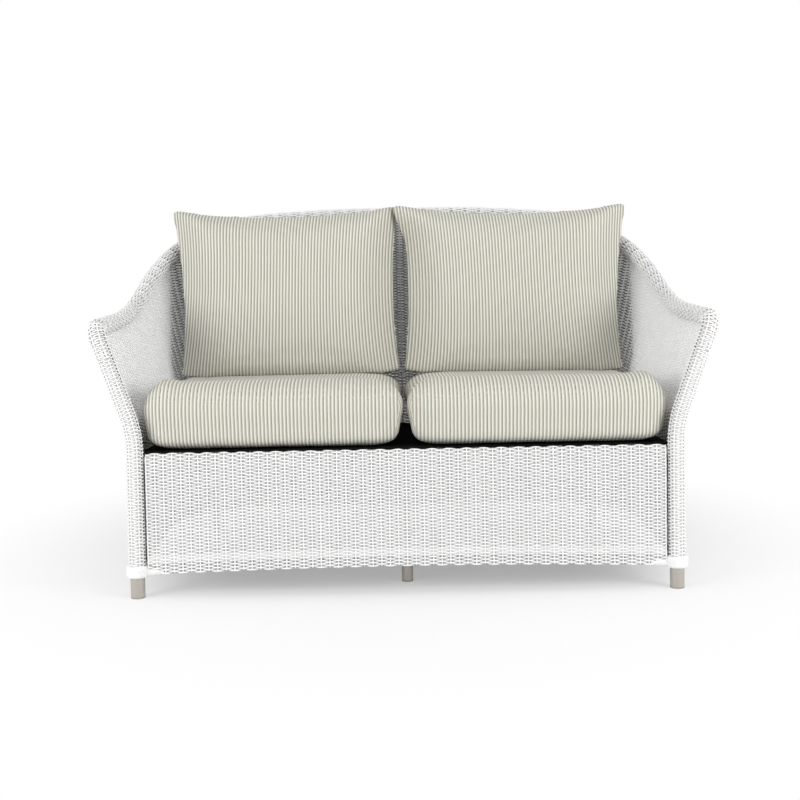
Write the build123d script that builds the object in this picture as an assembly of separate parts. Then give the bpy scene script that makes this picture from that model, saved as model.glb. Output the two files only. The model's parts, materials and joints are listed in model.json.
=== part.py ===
from build123d import *
import os
from math import cos, radians, sin, tan

# Woven patio loveseat on a tube frame, with two seat cushions and two back cushions.
# Millimetres. The front faces -Y, +X is to the right seen from the front, +Z is up.
# The origin is on the ground below the centre of the outline.

# Overall sizes
overall_width = 1526
overall_depth = 940
arm_height = 674.5
crown_height = 931
knee_height = 400
flare_angle = 19.5
corner_radius = 250
knee_bend_radius = 260
arm_tip_bend_radius = 42
arm_dip = 5
arm_dip_share = 0.66
crown_flat_width = 500
stay_spacing = 260
rear_leg_angle = 54
fit_gap = 0.3
weld_gap = 0.2
cut_overrun = 40

# Tubes: outer diameter and wall
frame_tube = 35
upright_tube = 28
seat_tube = 25
stay_tube = 18
hem_tube = 12
tube_wall = 2
hem_tube_wall = 1.5

# Weave
weave_thickness = 6
wrap_thickness = 4.7
hem_height = 56
cuff_height = 29
cuff_base = 50
cuff_swell = 4
tail_length = 46
tail_root_radius = 12
tail_tip_radius = 7
skirt_seam = 5
skirt_setback = 13.5
skirt_curl_angle = 50
skirt_top = 349
hem_rise = 10
hem_rail_height = 76
rear_rail_offset = 12

# Feet
glide_sole = 4
glide_plug = 16
centre_leg_setback = 125

# Seat frame and straps
seat_tilt_angle = 3.8
strap_width = 50
strap_thickness = 2
strap_tail = 28
strap_side_room = 53
lengthwise_pairs = 6
crosswise_count = 5
deck_thickness = 1.5

# Seat cushions
cushion_gap = 2.4
seat_side_room = 11
seat_front_room = 5
seat_rear_room = 38
seat_cushion_thickness = 167
seat_corner_radius = 62
seat_back_corner_radius = 226
seat_rear_inset_share = 0.45
seat_side_draw = 5
deck_clearance = 0.5

# Back cushions
back_cushion_gap = 7
back_side_room = 33
back_top_drop = 6
back_cushion_thickness = 168
back_lean_angle = 23
back_turn_angle = 6
back_rest_room = 122.5
back_foot_press = 21.5
back_side_draw = 2
back_top_dip = 15
back_foot_radius = 30
ear_reach_outer = 26
ear_reach_inner = 20
ear_lift = 8
ear_radius = 14
cushion_rest_gap = 0.6

# Sizes that follow
front = -overall_depth / 2
frame_radius = frame_tube / 2
upright_radius = upright_tube / 2
seat_radius = seat_tube / 2
stay_radius = stay_tube / 2
hem_radius = hem_tube / 2
half_weave = weave_thickness / 2
wrap_bore = frame_radius + fit_gap
wrap_radius = wrap_bore + wrap_thickness
upright_bore = upright_radius + fit_gap
upright_wrap_radius = upright_bore + wrap_thickness
flare = tan(radians(flare_angle))
half_flare = tan(radians(flare_angle / 2))
arm_line = arm_height - wrap_radius
crown_line = crown_height - wrap_radius
tip_reach = overall_width / 2 - wrap_radius
side_line = tip_reach - (arm_line - knee_height) * flare
crown_y = -front - wrap_radius
back_line = crown_y - (crown_line - knee_height) * flare
post_line = front + wrap_radius
corner_x = side_line - corner_radius
corner_y = back_line - corner_radius
strap_bore = seat_radius + fit_gap
strap_outer = strap_bore + strap_thickness
skirt_bore = strap_outer + fit_gap
skirt_outer = skirt_bore + weave_thickness
skirt_face = front + skirt_setback
front_rail_y = skirt_face + skirt_outer
rail_height = skirt_top - skirt_outer * sin(radians(skirt_curl_angle))
side_rail_height = rail_height + strap_thickness
side_rail_inset = half_weave + fit_gap + strap_outer
stay_inset = half_weave + fit_gap + stay_radius
hem_inset = half_weave + fit_gap + hem_radius
cuff_top = cuff_base + cuff_height
deck_base = side_rail_height + strap_outer
seat_base = deck_base + deck_thickness + deck_clearance
seat_crown = seat_base + seat_cushion_thickness
seat_cushion_width = side_line - seat_side_room - cushion_gap / 2
seat_cushion_depth = back_line - seat_rear_room - front - seat_front_room
back_cushion_width = side_line - back_side_room - back_cushion_gap / 2
seat_fall = (back_line - front_rail_y) * sin(radians(seat_tilt_angle))
back_foot_height = seat_crown - seat_fall - back_foot_press
back_foot_y = crown_y - back_rest_room - (crown_line - back_foot_height) * tan(radians(back_lean_angle))
back_cushion_height = (crown_height - back_top_drop - back_foot_height) / cos(radians(back_lean_angle))

# The wrapped rail climbs from the arm to the crown: corner angle, and share of the climb
rail_rise_shares = ((2, 0.02), (16, 0.11), (31, 0.33), (46, 0.585), (62, 0.79), (78, 0.925))
# Seat cushion slices: share of the thickness, and inset in shares of the corner radius
seat_slice_shares = (
    (0.0, 0.85), (0.037, 0.52), (0.134, 0.27), (0.305, 0.165), (0.5, 0.045), (0.62, 0.02),
    (0.79, 0.17), (0.885, 0.39), (0.95, 0.7), (0.98, 1.15), (0.995, 1.8), (1.005, 2.6),
)
# Back cushion slices: share of the half thickness, and inset in shares of the thickness
back_slice_shares = ((0.0, 0.0), (0.2, 0.073), (0.52, 0.22), (0.8, 0.46), (0.95, 0.67), (1.0, 0.86))
# The front of a back cushion runs down to the seat almost straight: share of the inset at its foot
front_foot_share = 0.3
# The edges of a cuff are rounded by this share of its wall
cuff_round_share = 0.85
# A bend takes up this share of the shorter run beside it
bend_share = 0.45
# The front posts end at this share of the run from the knee to the arm tip
post_end_share = 0.72


def ring_face(outer, bore, path):
    """Flat ring square to the start of a path; a bore of 0 leaves a disc."""
    face = Circle(outer)
    if bore > 0:
        face -= Circle(bore)
    return Plane(origin=path @ 0, z_dir=path % 0) * face


def tube(path, outer, bore=0):
    return sweep(ring_face(outer, bore, path), path=path)


def bend_radii(points, fixed):
    """Radius of each corner, as large as the shorter run beside it allows."""
    radii = []
    for before, here, after in zip(points, points[1:], points[2:]):
        turn = radians((here - before).get_angle(after - here))
        shorter = min((here - before).length, (after - here).length)
        radii.append(bend_share * shorter / tan(turn / 2))
    for corner, radius in fixed.items():
        radii[corner - 1] = radius
    return radii


def mirrored(shape):
    return mirror(shape, Plane.YZ)


def save(name, shape):
    solids = shape.solids()
    export_step(Compound(label=name, children=solids) if len(solids) > 1 else solids[0], f"parts/{name}.step")


def tilted(shape):
    """The seat frame and its cushions slope down to the rear about the front seat rail."""
    return shape.rotate(Axis((0, front_rail_y, rail_height), (1, 0, 0)), -seat_tilt_angle)


def pair(name, right):
    """Write the right hand piece and its mirror image."""
    save(f"{name}_right", right)
    save(f"{name}_left", mirrored(right))


# Rail route: from the right foot up the arm front, back along the arm and over the crown
def on_shell(angle, height, inset=0):
    """Point of the woven shell's middle at a corner angle; inset is measured square to it."""
    reach = corner_radius + (height - knee_height) * flare - inset / cos(radians(flare_angle))
    return Vector(corner_x + reach * cos(radians(angle)), corner_y + reach * sin(radians(angle)), height)


def rail_points():
    climb = crown_line - arm_line
    dip_height = arm_line - arm_dip
    dip_x = side_line + (dip_height - knee_height) * flare
    right = [
        Vector(side_line, post_line, glide_sole),
        Vector(side_line, post_line, knee_height),
        Vector(tip_reach, post_line, arm_line),
        Vector(dip_x, post_line + arm_dip_share * (corner_y - post_line), dip_height),
    ]
    right += [on_shell(angle, arm_line + share * climb) for angle, share in rail_rise_shares]
    right.append(Vector(crown_flat_width / 2, crown_y, crown_line))
    return right + [Vector(-p.X, p.Y, p.Z) for p in reversed(right)]


route = rail_points()
route_radii = bend_radii(route, {1: knee_bend_radius, 2: arm_tip_bend_radius})
rear_leg_run = 3 + [angle < rear_leg_angle for angle, share in rail_rise_shares].count(True)
post_end = route[1] + (route[2] - route[1]) * post_end_share
rear_joint = (route[rear_leg_run] + route[rear_leg_run + 1]) / 2
rear_joint_left = Vector(-rear_joint.X, rear_joint.Y, rear_joint.Z)


def route_part(start, first, last, end):
    """Filleted path from start, through the route's corners first to last, to end."""
    corners = route[first:last + 1]
    radii = route_radii[first - 1:last]
    return Wire(FilletPolyline(start, *corners, end, radius=radii).edges())


post_path = route_part(route[0], 1, 1, post_end)
arm_path = route_part(post_end, 2, rear_leg_run, rear_joint)
crown_last = len(route) - 2 - rear_leg_run
crown_path = route_part(rear_joint, rear_leg_run + 1, crown_last, rear_joint_left)
post_rod = tube(post_path, frame_radius + weld_gap)
arm_rod = tube(arm_path, frame_radius + weld_gap)
crown_rod = tube(crown_path, frame_radius + weld_gap)


# Legs and uprights
def upright_path(angle, inset, foot, top):
    """Upright inside the shell: straight to the knee, then leaning out with the shell."""
    knee = knee_height + inset * half_flare
    reach = corner_radius - inset
    out = Vector(cos(radians(angle)), sin(radians(angle)))
    base = Vector(corner_x, corner_y) + out * reach
    lean = out * ((top - knee) * flare)
    low = base + Vector(0, 0, foot)
    bend = base + Vector(0, 0, knee)
    return Wire(FilletPolyline(low, bend, base + lean + Vector(0, 0, top), radius=knee_bend_radius).edges())


def stay_path():
    knee = knee_height + stay_inset * half_flare
    y = back_line - stay_inset
    low = Vector(stay_spacing / 2, y, hem_rail_height)
    bend = Vector(stay_spacing / 2, y, knee)
    top = Vector(stay_spacing / 2, y + (crown_line - knee) * flare, crown_line)
    return Wire(FilletPolyline(low, bend, top, radius=knee_bend_radius).edges())


def level_rail(inset, height, start, first_angle=0.0, last_angle=rear_leg_angle):
    """Rail that follows the foot of the shell at a height, from a side run round the corner."""
    reach = corner_radius - inset
    centre = (corner_x, corner_y, height)
    arc = Plane(origin=centre) * CenterArc((0, 0), reach, first_angle, last_angle - first_angle)
    if start is None:
        return arc
    return Wire([Line(start, arc @ 0).edge(), arc.edge()])


rear_leg_path = upright_path(rear_leg_angle, 0, glide_sole, rear_joint.Z - frame_radius / 2)
rear_leg_rod = tube(rear_leg_path, upright_radius + weld_gap)
rear_leg = tube(rear_leg_path, upright_radius, upright_radius - tube_wall) - arm_rod - crown_rod
front_leg = tube(post_path, frame_radius, frame_radius - tube_wall)
rear_leg_foot = rear_leg_path @ 0

# Seat frame
front_rail_end = side_line - half_weave - fit_gap
front_rail_start = (-front_rail_end, front_rail_y, rail_height)
front_rail_path = Line(front_rail_start, (front_rail_end, front_rail_y, rail_height))
seat_rail_front = tube(front_rail_path, seat_radius, seat_radius - tube_wall)
seat_rail_front -= post_rod + mirrored(post_rod)
rear_rail_y = rear_leg_foot.Y - rear_rail_offset
rear_rail_path = tilted(
    Line((-rear_leg_foot.X, rear_rail_y, rail_height), (rear_leg_foot.X, rear_rail_y, rail_height)))
seat_rail_rear = tube(rear_rail_path, seat_radius, seat_radius - tube_wall)
seat_rail_rear -= rear_leg_rod + mirrored(rear_leg_rod)
side_rail_x = side_line - side_rail_inset
side_rail_start = (side_rail_x, front_rail_y, side_rail_height)
side_rail_path = tilted(level_rail(side_rail_inset, side_rail_height, side_rail_start))
seat_rail_side = tube(side_rail_path, seat_radius, seat_radius - tube_wall) - post_rod - rear_leg_rod
seat_rail_side -= tube(front_rail_path, seat_radius + weld_gap) + tube(rear_rail_path, seat_radius + weld_gap)
stretcher_path = tilted(Line((0, front_rail_y, rail_height), (0, rear_rail_y, rail_height)))
stretcher = tube(stretcher_path, seat_radius, seat_radius - tube_wall)
stretcher -= tube(front_rail_path, seat_radius + weld_gap) + tube(rear_rail_path, seat_radius + weld_gap)
centre_leg_y = front + centre_leg_setback
centre_leg_top = rail_height - (centre_leg_y - front_rail_y) * tan(radians(seat_tilt_angle))
centre_leg_path = Line((0, centre_leg_y, glide_sole), (0, centre_leg_y, centre_leg_top))
centre_leg = tube(centre_leg_path, upright_radius, upright_radius - tube_wall)
centre_leg -= tube(stretcher_path, seat_radius + weld_gap)

# Hem rails
hem_rail_y = skirt_face + weave_thickness + fit_gap + hem_radius
hem_arch = Bezier(
    (-side_line, hem_rail_y, hem_rail_height),
    (0, hem_rail_y, hem_rail_height + 2 * hem_rise),
    (side_line, hem_rail_y, hem_rail_height),
)
hem_bore = hem_radius - hem_tube_wall
hem_rail_front = tube(hem_arch, hem_radius, hem_bore) - post_rod - mirrored(post_rod)
hem_side_path = level_rail(hem_inset, hem_rail_height, (side_line - hem_inset, post_line, hem_rail_height))
hem_rail_side = tube(hem_side_path, hem_radius, hem_bore) - post_rod - rear_leg_rod
hem_rail_side -= tube(hem_arch, hem_radius + weld_gap)
hem_rear_arc = level_rail(hem_inset, hem_rail_height, None, rear_leg_angle, 90)
hem_rear_left = mirrored(hem_rear_arc)
hem_rear_line = Line(hem_rear_arc @ 1, hem_rear_left @ 1)
hem_rear_path = Wire([hem_rear_arc.edge(), hem_rear_line.edge(), hem_rear_left.edge()])
hem_rail_rear = tube(hem_rear_path, hem_radius, hem_bore) - rear_leg_rod - mirrored(rear_leg_rod)

# Top rails and the two stays of the back
arm_rail = tube(arm_path, frame_radius, frame_radius - tube_wall)
top_rail = tube(crown_path, frame_radius, frame_radius - tube_wall)
stay_rod_path = stay_path()
back_stay = tube(stay_rod_path, stay_radius, stay_radius - tube_wall)
back_stay -= crown_rod + tube(hem_rear_path, hem_radius + weld_gap)
back_stay -= tube(rear_rail_path, seat_radius + weld_gap)

# Foot glides: a sole under each tube end and a plug inside it
glides = []
for place, radius in (
    (Vector(side_line, post_line), frame_radius),
    (Vector(-side_line, post_line), frame_radius),
    (Vector(rear_leg_foot.X, rear_leg_foot.Y), upright_radius),
    (Vector(-rear_leg_foot.X, rear_leg_foot.Y), upright_radius),
    (Vector(0, centre_leg_y), upright_radius),
):
    sole = Pos(place.X, place.Y, 0) * extrude(Circle(radius), glide_sole)
    plug_radius = radius - tube_wall - fit_gap
    plug = Pos(place.X, place.Y, glide_sole) * extrude(Circle(plug_radius), glide_plug)
    glides.append(sole + plug)

# Seat straps, looped round the rails
def strap_profile(half_span):
    """Side view of half a strap: the flat run from the middle and the loop round its rail."""
    low = -strap_outer
    line = [
        Line((-half_span, strap_outer), (0, strap_outer)),
        CenterArc((0, 0), strap_outer, 90, -180),
        Line((0, low), (-strap_tail, low)),
        Line((-strap_tail, low), (-strap_tail, -strap_bore)),
        Line((-strap_tail, -strap_bore), (0, -strap_bore)),
        CenterArc((0, 0), strap_bore, -90, 180),
        Line((0, strap_bore), (-half_span, strap_bore)),
        Line((-half_span, strap_bore), (-half_span, strap_outer)),
    ]
    return make_face(Wire([piece.edge() for piece in line]))


def strap(middle, along, half_span):
    """One strap with a loop at each end; along is the direction of its run."""
    side = Vector(0, 0, 1).cross(along)
    end = Plane(origin=middle + along * half_span, x_dir=along, z_dir=side * -1)
    half = extrude(end * strap_profile(half_span), strap_width / 2, both=True)
    other = half.rotate(Axis(middle, Vector(0, 0, 1)), 180)
    return half + other


half_length = (rear_rail_y - front_rail_y) / 2
lengthwise_spacing = (rear_leg_foot.X - strap_side_room) / (lengthwise_pairs - 0.5)
lengthwise = []
for step in range(lengthwise_pairs):
    x = (step + 0.5) * lengthwise_spacing
    for side in (1, -1):
        middle = Vector(side * x, front_rail_y + half_length, rail_height)
        lengthwise.append(tilted(strap(middle, Vector(0, 1, 0), half_length)))
crosswise_spacing = (corner_y - front_rail_y) / crosswise_count
crosswise = []
for step in range(crosswise_count):
    middle = Vector(0, front_rail_y + (step + 0.5) * crosswise_spacing, side_rail_height)
    crosswise.append(tilted(strap(middle, Vector(1, 0, 0), side_rail_x)))


# Deck cloth over the straps, edged along the side rails and notched for the posts
def deck_outline():
    deck_front = front_rail_y - seat_radius
    right_arc = level_rail(side_rail_inset, deck_base, None)
    left_arc = mirrored(right_arc)
    right_corner = (side_rail_x, deck_front, deck_base)
    left_corner = (-side_rail_x, deck_front, deck_base)
    return make_face(Wire([
        Line(left_corner, right_corner).edge(),
        Line(right_corner, right_arc @ 0).edge(),
        right_arc.edge(),
        Line(right_arc @ 1, left_arc @ 1).edge(),
        left_arc.edge(),
        Line(left_arc @ 0, left_corner).edge(),
    ]))


deck_notches = tube(post_path, wrap_radius + fit_gap) + tube(rear_leg_path, upright_wrap_radius + fit_gap)
seat_deck = tilted(extrude(deck_outline(), deck_thickness, dir=(0, 0, 1)))
seat_deck -= deck_notches + mirrored(deck_notches)


# Woven shell: one section, run along the side and round the corner
def shell_section(low, high):
    """Section of the shell, out from its foot line, as a face in the XZ plane."""
    reach = (high - knee_height) * flare
    lean = half_weave / cos(radians(flare_angle))
    outline = Polyline(
        (half_weave, low), (half_weave, knee_height - half_weave * half_flare), (reach + lean, high),
        (reach - lean, high), (-half_weave, knee_height + half_weave * half_flare), (-half_weave, low),
        close=True,
    )
    section = make_face(outline)
    knees = section.vertices().filter_by(lambda v: abs(v.Y - knee_height) < weave_thickness)
    return fillet(knees, knee_bend_radius)


def shell_run(length):
    """Straight stretch of shell along +Y, its foot line on the Y axis."""
    return extrude(Plane.XZ * shell_section(hem_height, crown_height + cut_overrun), -length)


def shell_corner(first_angle, last_angle):
    section = Plane.XZ * (Pos(corner_radius, 0) * shell_section(hem_height, crown_height + cut_overrun))
    turned = revolve(section, Axis.Z, last_angle - first_angle)
    return Pos(corner_x, corner_y, 0) * turned.rotate(Axis.Z, first_angle)


def above(points, plane):
    """Everything above a line of points seen square to a plane."""
    ceiling = crown_height + 2 * cut_overrun
    line = list(points) + [(points[-1][0], ceiling), (points[0][0], ceiling)]
    return extrude(plane * make_face(Polyline(*line, close=True)), overall_width, both=True)


arm_knots = route[2:rear_leg_run + 3]
arm_sky = above([(front - cut_overrun, arm_line)] + [(p.Y, p.Z) for p in arm_knots], Plane.YZ)
wrap_hole = tube(arm_path, wrap_radius + fit_gap)
upright_hole = tube(rear_leg_path, upright_wrap_radius + fit_gap)
post_hole = tube(post_path, wrap_radius + fit_gap)
crown_hole = tube(crown_path, wrap_radius + fit_gap)
side_weave = Pos(side_line, post_line, 0) * shell_run(corner_y - post_line) + shell_corner(0, rear_leg_angle)
side_weave = side_weave - arm_sky - wrap_hole - post_hole - crown_hole - upright_hole
crown_knots = route[rear_leg_run - 1:crown_last + 3]
crown_sky = above([(p.X, p.Z) for p in crown_knots], Plane.XZ)
back_corner = shell_corner(rear_leg_angle, 90)
back_weave = shell_run(2 * corner_x).rotate(Axis.Z, 90)
back_weave = Pos(corner_x, back_line, 0) * back_weave + back_corner + mirrored(back_corner)
back_weave -= crown_sky + crown_hole + wrap_hole + mirrored(wrap_hole)
back_weave -= upright_hole + mirrored(upright_hole)

# Skirt between the front posts, curled over the front seat rail
skirt_half = side_line - wrap_radius - skirt_seam
skirt_low = hem_height - hem_rise
curl = radians(180 - skirt_curl_angle)
curl_lines = [
    Line((skirt_face, skirt_low), (skirt_face, rail_height)),
    CenterArc((front_rail_y, rail_height), skirt_outer, 180, -skirt_curl_angle),
    Line(
        (front_rail_y + skirt_outer * cos(curl), rail_height + skirt_outer * sin(curl)),
        (front_rail_y + skirt_bore * cos(curl), rail_height + skirt_bore * sin(curl)),
    ),
    CenterArc((front_rail_y, rail_height), skirt_bore, 180 - skirt_curl_angle, skirt_curl_angle),
    Line((skirt_face + weave_thickness, rail_height), (skirt_face + weave_thickness, skirt_low)),
    Line((skirt_face + weave_thickness, skirt_low), (skirt_face, skirt_low)),
]
skirt = extrude(Plane.YZ * make_face(Wire([piece.edge() for piece in curl_lines])), skirt_half, both=True)
arch_line = Bezier((-side_line, hem_height), (0, hem_height + 2 * hem_rise), (side_line, hem_height))
below_left = (-side_line, hem_height - cut_overrun)
below_right = (side_line, hem_height - cut_overrun)
arch_face = make_face(Wire([
    arch_line.edge(),
    Line(arch_line @ 1, below_right).edge(),
    Line(below_right, below_left).edge(),
    Line(below_left, arch_line @ 0).edge(),
]))
hem_plane = Plane(origin=(0, skirt_face, 0), x_dir=(1, 0, 0), z_dir=(0, -1, 0))
skirt -= hem_plane * extrude(arch_face, weave_thickness + cut_overrun, both=True)

# Cuffs at the feet of the posts, each with a tail along the hem
def cuff_ring(bore, outer):
    rim = outer + cuff_swell
    edge_radius = (rim - bore) * cuff_round_share
    turn = rim - edge_radius
    low = cuff_base + edge_radius
    high = cuff_top - edge_radius
    face = make_face(Wire([
        Line((bore, cuff_base), (turn, cuff_base)).edge(),
        CenterArc((turn, low), edge_radius, -90, 90).edge(),
        Line((rim, low), (rim, high)).edge(),
        CenterArc((turn, high), edge_radius, 0, 90).edge(),
        Line((turn, cuff_top), (bore, cuff_top)).edge(),
        Line((bore, cuff_top), (bore, cuff_base)).edge(),
    ]))
    return revolve(Plane.XZ * face, Axis.Z, 360)


def cuff_room(place, outer):
    """Room that a cuff needs in the panels beside it."""
    disc = Circle(outer + cuff_swell + fit_gap)
    return Pos(place.X, place.Y, cuff_base - cut_overrun) * extrude(disc, cuff_height + cut_overrun + fit_gap)


tail_height = cuff_base + tail_root_radius
tail_root = Vector(side_line - wrap_bore, post_line, tail_height)


def tail(gap):
    """Tapered tail of wrapped strand that covers the lower corner of the skirt."""
    plane = Plane(origin=tail_root, z_dir=(-1, 0, 0))
    tip = plane.offset(tail_length + gap)
    body = loft([plane * Circle(tail_root_radius + gap), tip * Circle(tail_tip_radius + gap)])
    return body - tube(post_path, wrap_bore)


hem_rods = (
    tube(hem_arch, hem_radius + fit_gap)
    + tube(hem_side_path, hem_radius + fit_gap)
    + tube(hem_rear_path, hem_radius + fit_gap)
)
front_cuff = Pos(side_line, post_line, 0) * cuff_ring(wrap_bore, wrap_radius) + tail(0) - hem_rods
rear_cuff = Pos(rear_leg_foot.X, rear_leg_foot.Y, 0) * cuff_ring(upright_bore, upright_wrap_radius) - hem_rods
skirt -= tail(fit_gap) + mirrored(tail(fit_gap))
front_room = cuff_room(Vector(side_line, post_line), wrap_radius)
rear_room = cuff_room(rear_leg_foot, upright_wrap_radius)
side_weave -= front_room + rear_room
back_weave -= rear_room + mirrored(rear_room)

# Wraps round the posts, the arm rails and the crown, notched where a rail comes in
rails_at_post = (
    tube(front_rail_path, strap_outer + fit_gap)
    + tube(side_rail_path, seat_radius + fit_gap)
)
wrap_start = Vector(side_line, post_line, cuff_top)
wrap_path = Wire(FilletPolyline(wrap_start, route[1], post_end, radius=knee_bend_radius).edges())
post_wrap = tube(wrap_path, wrap_radius, wrap_bore) - rails_at_post - hem_rods
rear_wrap_path = upright_path(rear_leg_angle, 0, cuff_top, rear_joint.Z - wrap_radius / 2)
rails_at_rear = tube(side_rail_path, seat_radius + fit_gap) + tube(rear_rail_path, seat_radius + fit_gap)
rear_wrap = tube(rear_wrap_path, upright_wrap_radius, upright_bore) - rails_at_rear - hem_rods
rear_wrap -= wrap_hole + crown_hole
upright_room = tube(rear_leg_path, upright_bore)
arm_wrap = tube(arm_path, wrap_radius, wrap_bore) - upright_room
crown_wrap = tube(crown_path, wrap_radius, wrap_bore)
stay_room = tube(stay_rod_path, stay_radius + fit_gap)
crown_wrap -= upright_room + mirrored(upright_room) + stay_room + mirrored(stay_room)


# Cushions
def seat_slice(level, inset):
    """Outline of the right seat cushion at a level, drawn in at the middle of each side."""
    left = cushion_gap / 2 + inset
    right = cushion_gap / 2 + seat_cushion_width - inset
    near = front + seat_front_room + inset
    far = front + seat_front_room + seat_cushion_depth - inset * seat_rear_inset_share
    small = seat_corner_radius / (1 + inset / seat_corner_radius)
    large = seat_back_corner_radius - inset / 2
    draw = seat_side_draw
    mid_x = (left + right) / 2
    mid_y = (near + far) / 2
    far_x = (left + small + right - large) / 2
    near_y = near + small
    far_left_y = far - small
    far_right_y = far - large
    small_bite = small * (1 - sin(radians(45)))
    large_bite = large * (1 - sin(radians(45)))
    pieces = [
        ThreePointArc((left + small, near), (mid_x, near - draw), (right - small, near)),
        ThreePointArc((right - small, near), (right - small_bite, near + small_bite), (right, near_y)),
        ThreePointArc((right, near_y), (right - draw, (near_y + far_right_y) / 2), (right, far_right_y)),
        ThreePointArc((right, far_right_y), (right - large_bite, far - large_bite), (right - large, far)),
        ThreePointArc((right - large, far), (far_x, far - draw), (left + small, far)),
        ThreePointArc((left + small, far), (left + small_bite, far - small_bite), (left, far_left_y)),
        ThreePointArc((left, far_left_y), (left + draw, mid_y), (left, near_y)),
        ThreePointArc((left, near_y), (left + small_bite, near + small_bite), (left + small, near)),
    ]
    return Pos(0, 0, level) * make_face(Wire([piece.edge() for piece in pieces]))


seat_slices = []
for share, inset_share in seat_slice_shares:
    seat_slices.append(seat_slice(seat_base + share * seat_cushion_thickness, inset_share * seat_corner_radius))
crown_plane = Pos(0, 0, seat_crown) * Rectangle(2 * overall_width, 2 * overall_depth)
seat_cushion = tilted(loft(seat_slices) - extrude(crown_plane, cut_overrun))


def back_slice(offset, inset, foot_share):
    """Outline of the right back cushion at an offset from its middle plane, ears at the top corners."""
    half = back_cushion_width / 2
    fade = 1 - inset / half
    foot = half - inset
    outer = foot + ear_reach_outer * fade
    inner = foot + ear_reach_inner * fade
    side = foot - back_side_draw * fade
    top = back_cushion_height - inset
    ear = top + ear_lift * fade
    dip = top - back_top_dip * fade
    low = inset * foot_share
    middle = (low + top) / 2
    bite = ear_radius * (1 - sin(radians(45)))
    curve = ear_radius + (back_foot_radius - ear_radius) * fade
    foot_bite = curve * (1 - sin(radians(45)))
    pieces = [
        Line((-foot + curve, low), (foot - curve, low)),
        ThreePointArc((foot - curve, low), (foot - foot_bite, low + foot_bite), (foot, low + curve)),
        ThreePointArc((foot, low + curve), (side, middle), (outer, ear - ear_radius)),
        ThreePointArc((outer, ear - ear_radius), (outer - bite, ear - bite), (outer - ear_radius, ear)),
        ThreePointArc((outer - ear_radius, ear), (0, dip), (-inner + ear_radius, ear)),
        ThreePointArc((-inner + ear_radius, ear), (-inner + bite, ear - bite), (-inner, ear - ear_radius)),
        ThreePointArc((-inner, ear - ear_radius), (-side, middle), (-foot, low + curve)),
        ThreePointArc((-foot, low + curve), (-foot + foot_bite, low + foot_bite), (-foot + curve, low)),
    ]
    return Pos(0, 0, offset) * make_face(Wire([piece.edge() for piece in pieces]))


def back_half(face_side, foot_share):
    """Front (1) or rear (-1) half of the cushion, from its seam to its face."""
    slices = []
    for share, inset_share in back_slice_shares:
        offset = face_side * share * back_cushion_thickness / 2
        slices.append(back_slice(offset, inset_share * back_cushion_thickness, foot_share))
    return loft(slices)


lean = radians(back_lean_angle)
turn = radians(back_turn_angle)
back_plane = Plane(
    origin=((back_cushion_gap + back_cushion_width) / 2, back_foot_y, back_foot_height),
    x_dir=(cos(turn), -sin(turn), 0),
    z_dir=(-sin(turn) * cos(lean), -cos(turn) * cos(lean), sin(lean)),
)
# The foot of a back cushion is pressed flat on the seat cushion
foot_room = tilted(Pos(0, 0, cushion_rest_gap) * extrude(crown_plane, -back_cushion_thickness))
back_cushion = back_plane * (back_half(1, front_foot_share) + back_half(-1, 1)) - foot_room

os.makedirs("parts", exist_ok=True)
pair("front_leg", front_leg)
pair("rear_leg", rear_leg)
save("centre_leg", centre_leg)
save("foot_glides", Compound(children=glides))
save("seat_rail_front", seat_rail_front)
save("seat_rail_rear", seat_rail_rear)
pair("seat_rail", seat_rail_side)
save("seat_stretcher", stretcher)
save("hem_rail_front", hem_rail_front)
save("hem_rail_rear", hem_rail_rear)
pair("hem_rail", hem_rail_side)
pair("arm_rail", arm_rail)
save("top_rail", top_rail)
save("back_stay", Compound(children=[back_stay, mirrored(back_stay)]))
save("seat_straps_lengthwise", Compound(children=lengthwise))
save("seat_straps_crosswise", Compound(children=crosswise))
save("seat_deck", seat_deck)
save("skirt_weave", skirt)
pair("side_weave", side_weave)
save("back_weave", back_weave)
pair("post_wrap", post_wrap)
pair("arm_wrap", arm_wrap)
save("crown_wrap", crown_wrap)
pair("rear_wrap", rear_wrap)
pair("post_cuff", front_cuff)
pair("rear_cuff", rear_cuff)
pair("seat_cushion", seat_cushion)
pair("back_cushion", back_cushion)
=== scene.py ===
import json
import math

import bmesh
import bpy
import numpy as np
from bpy.props import FloatProperty, FloatVectorProperty, IntProperty, PointerProperty
from mathutils import Matrix, Vector
from mathutils.bvhtree import BVHTree


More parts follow.
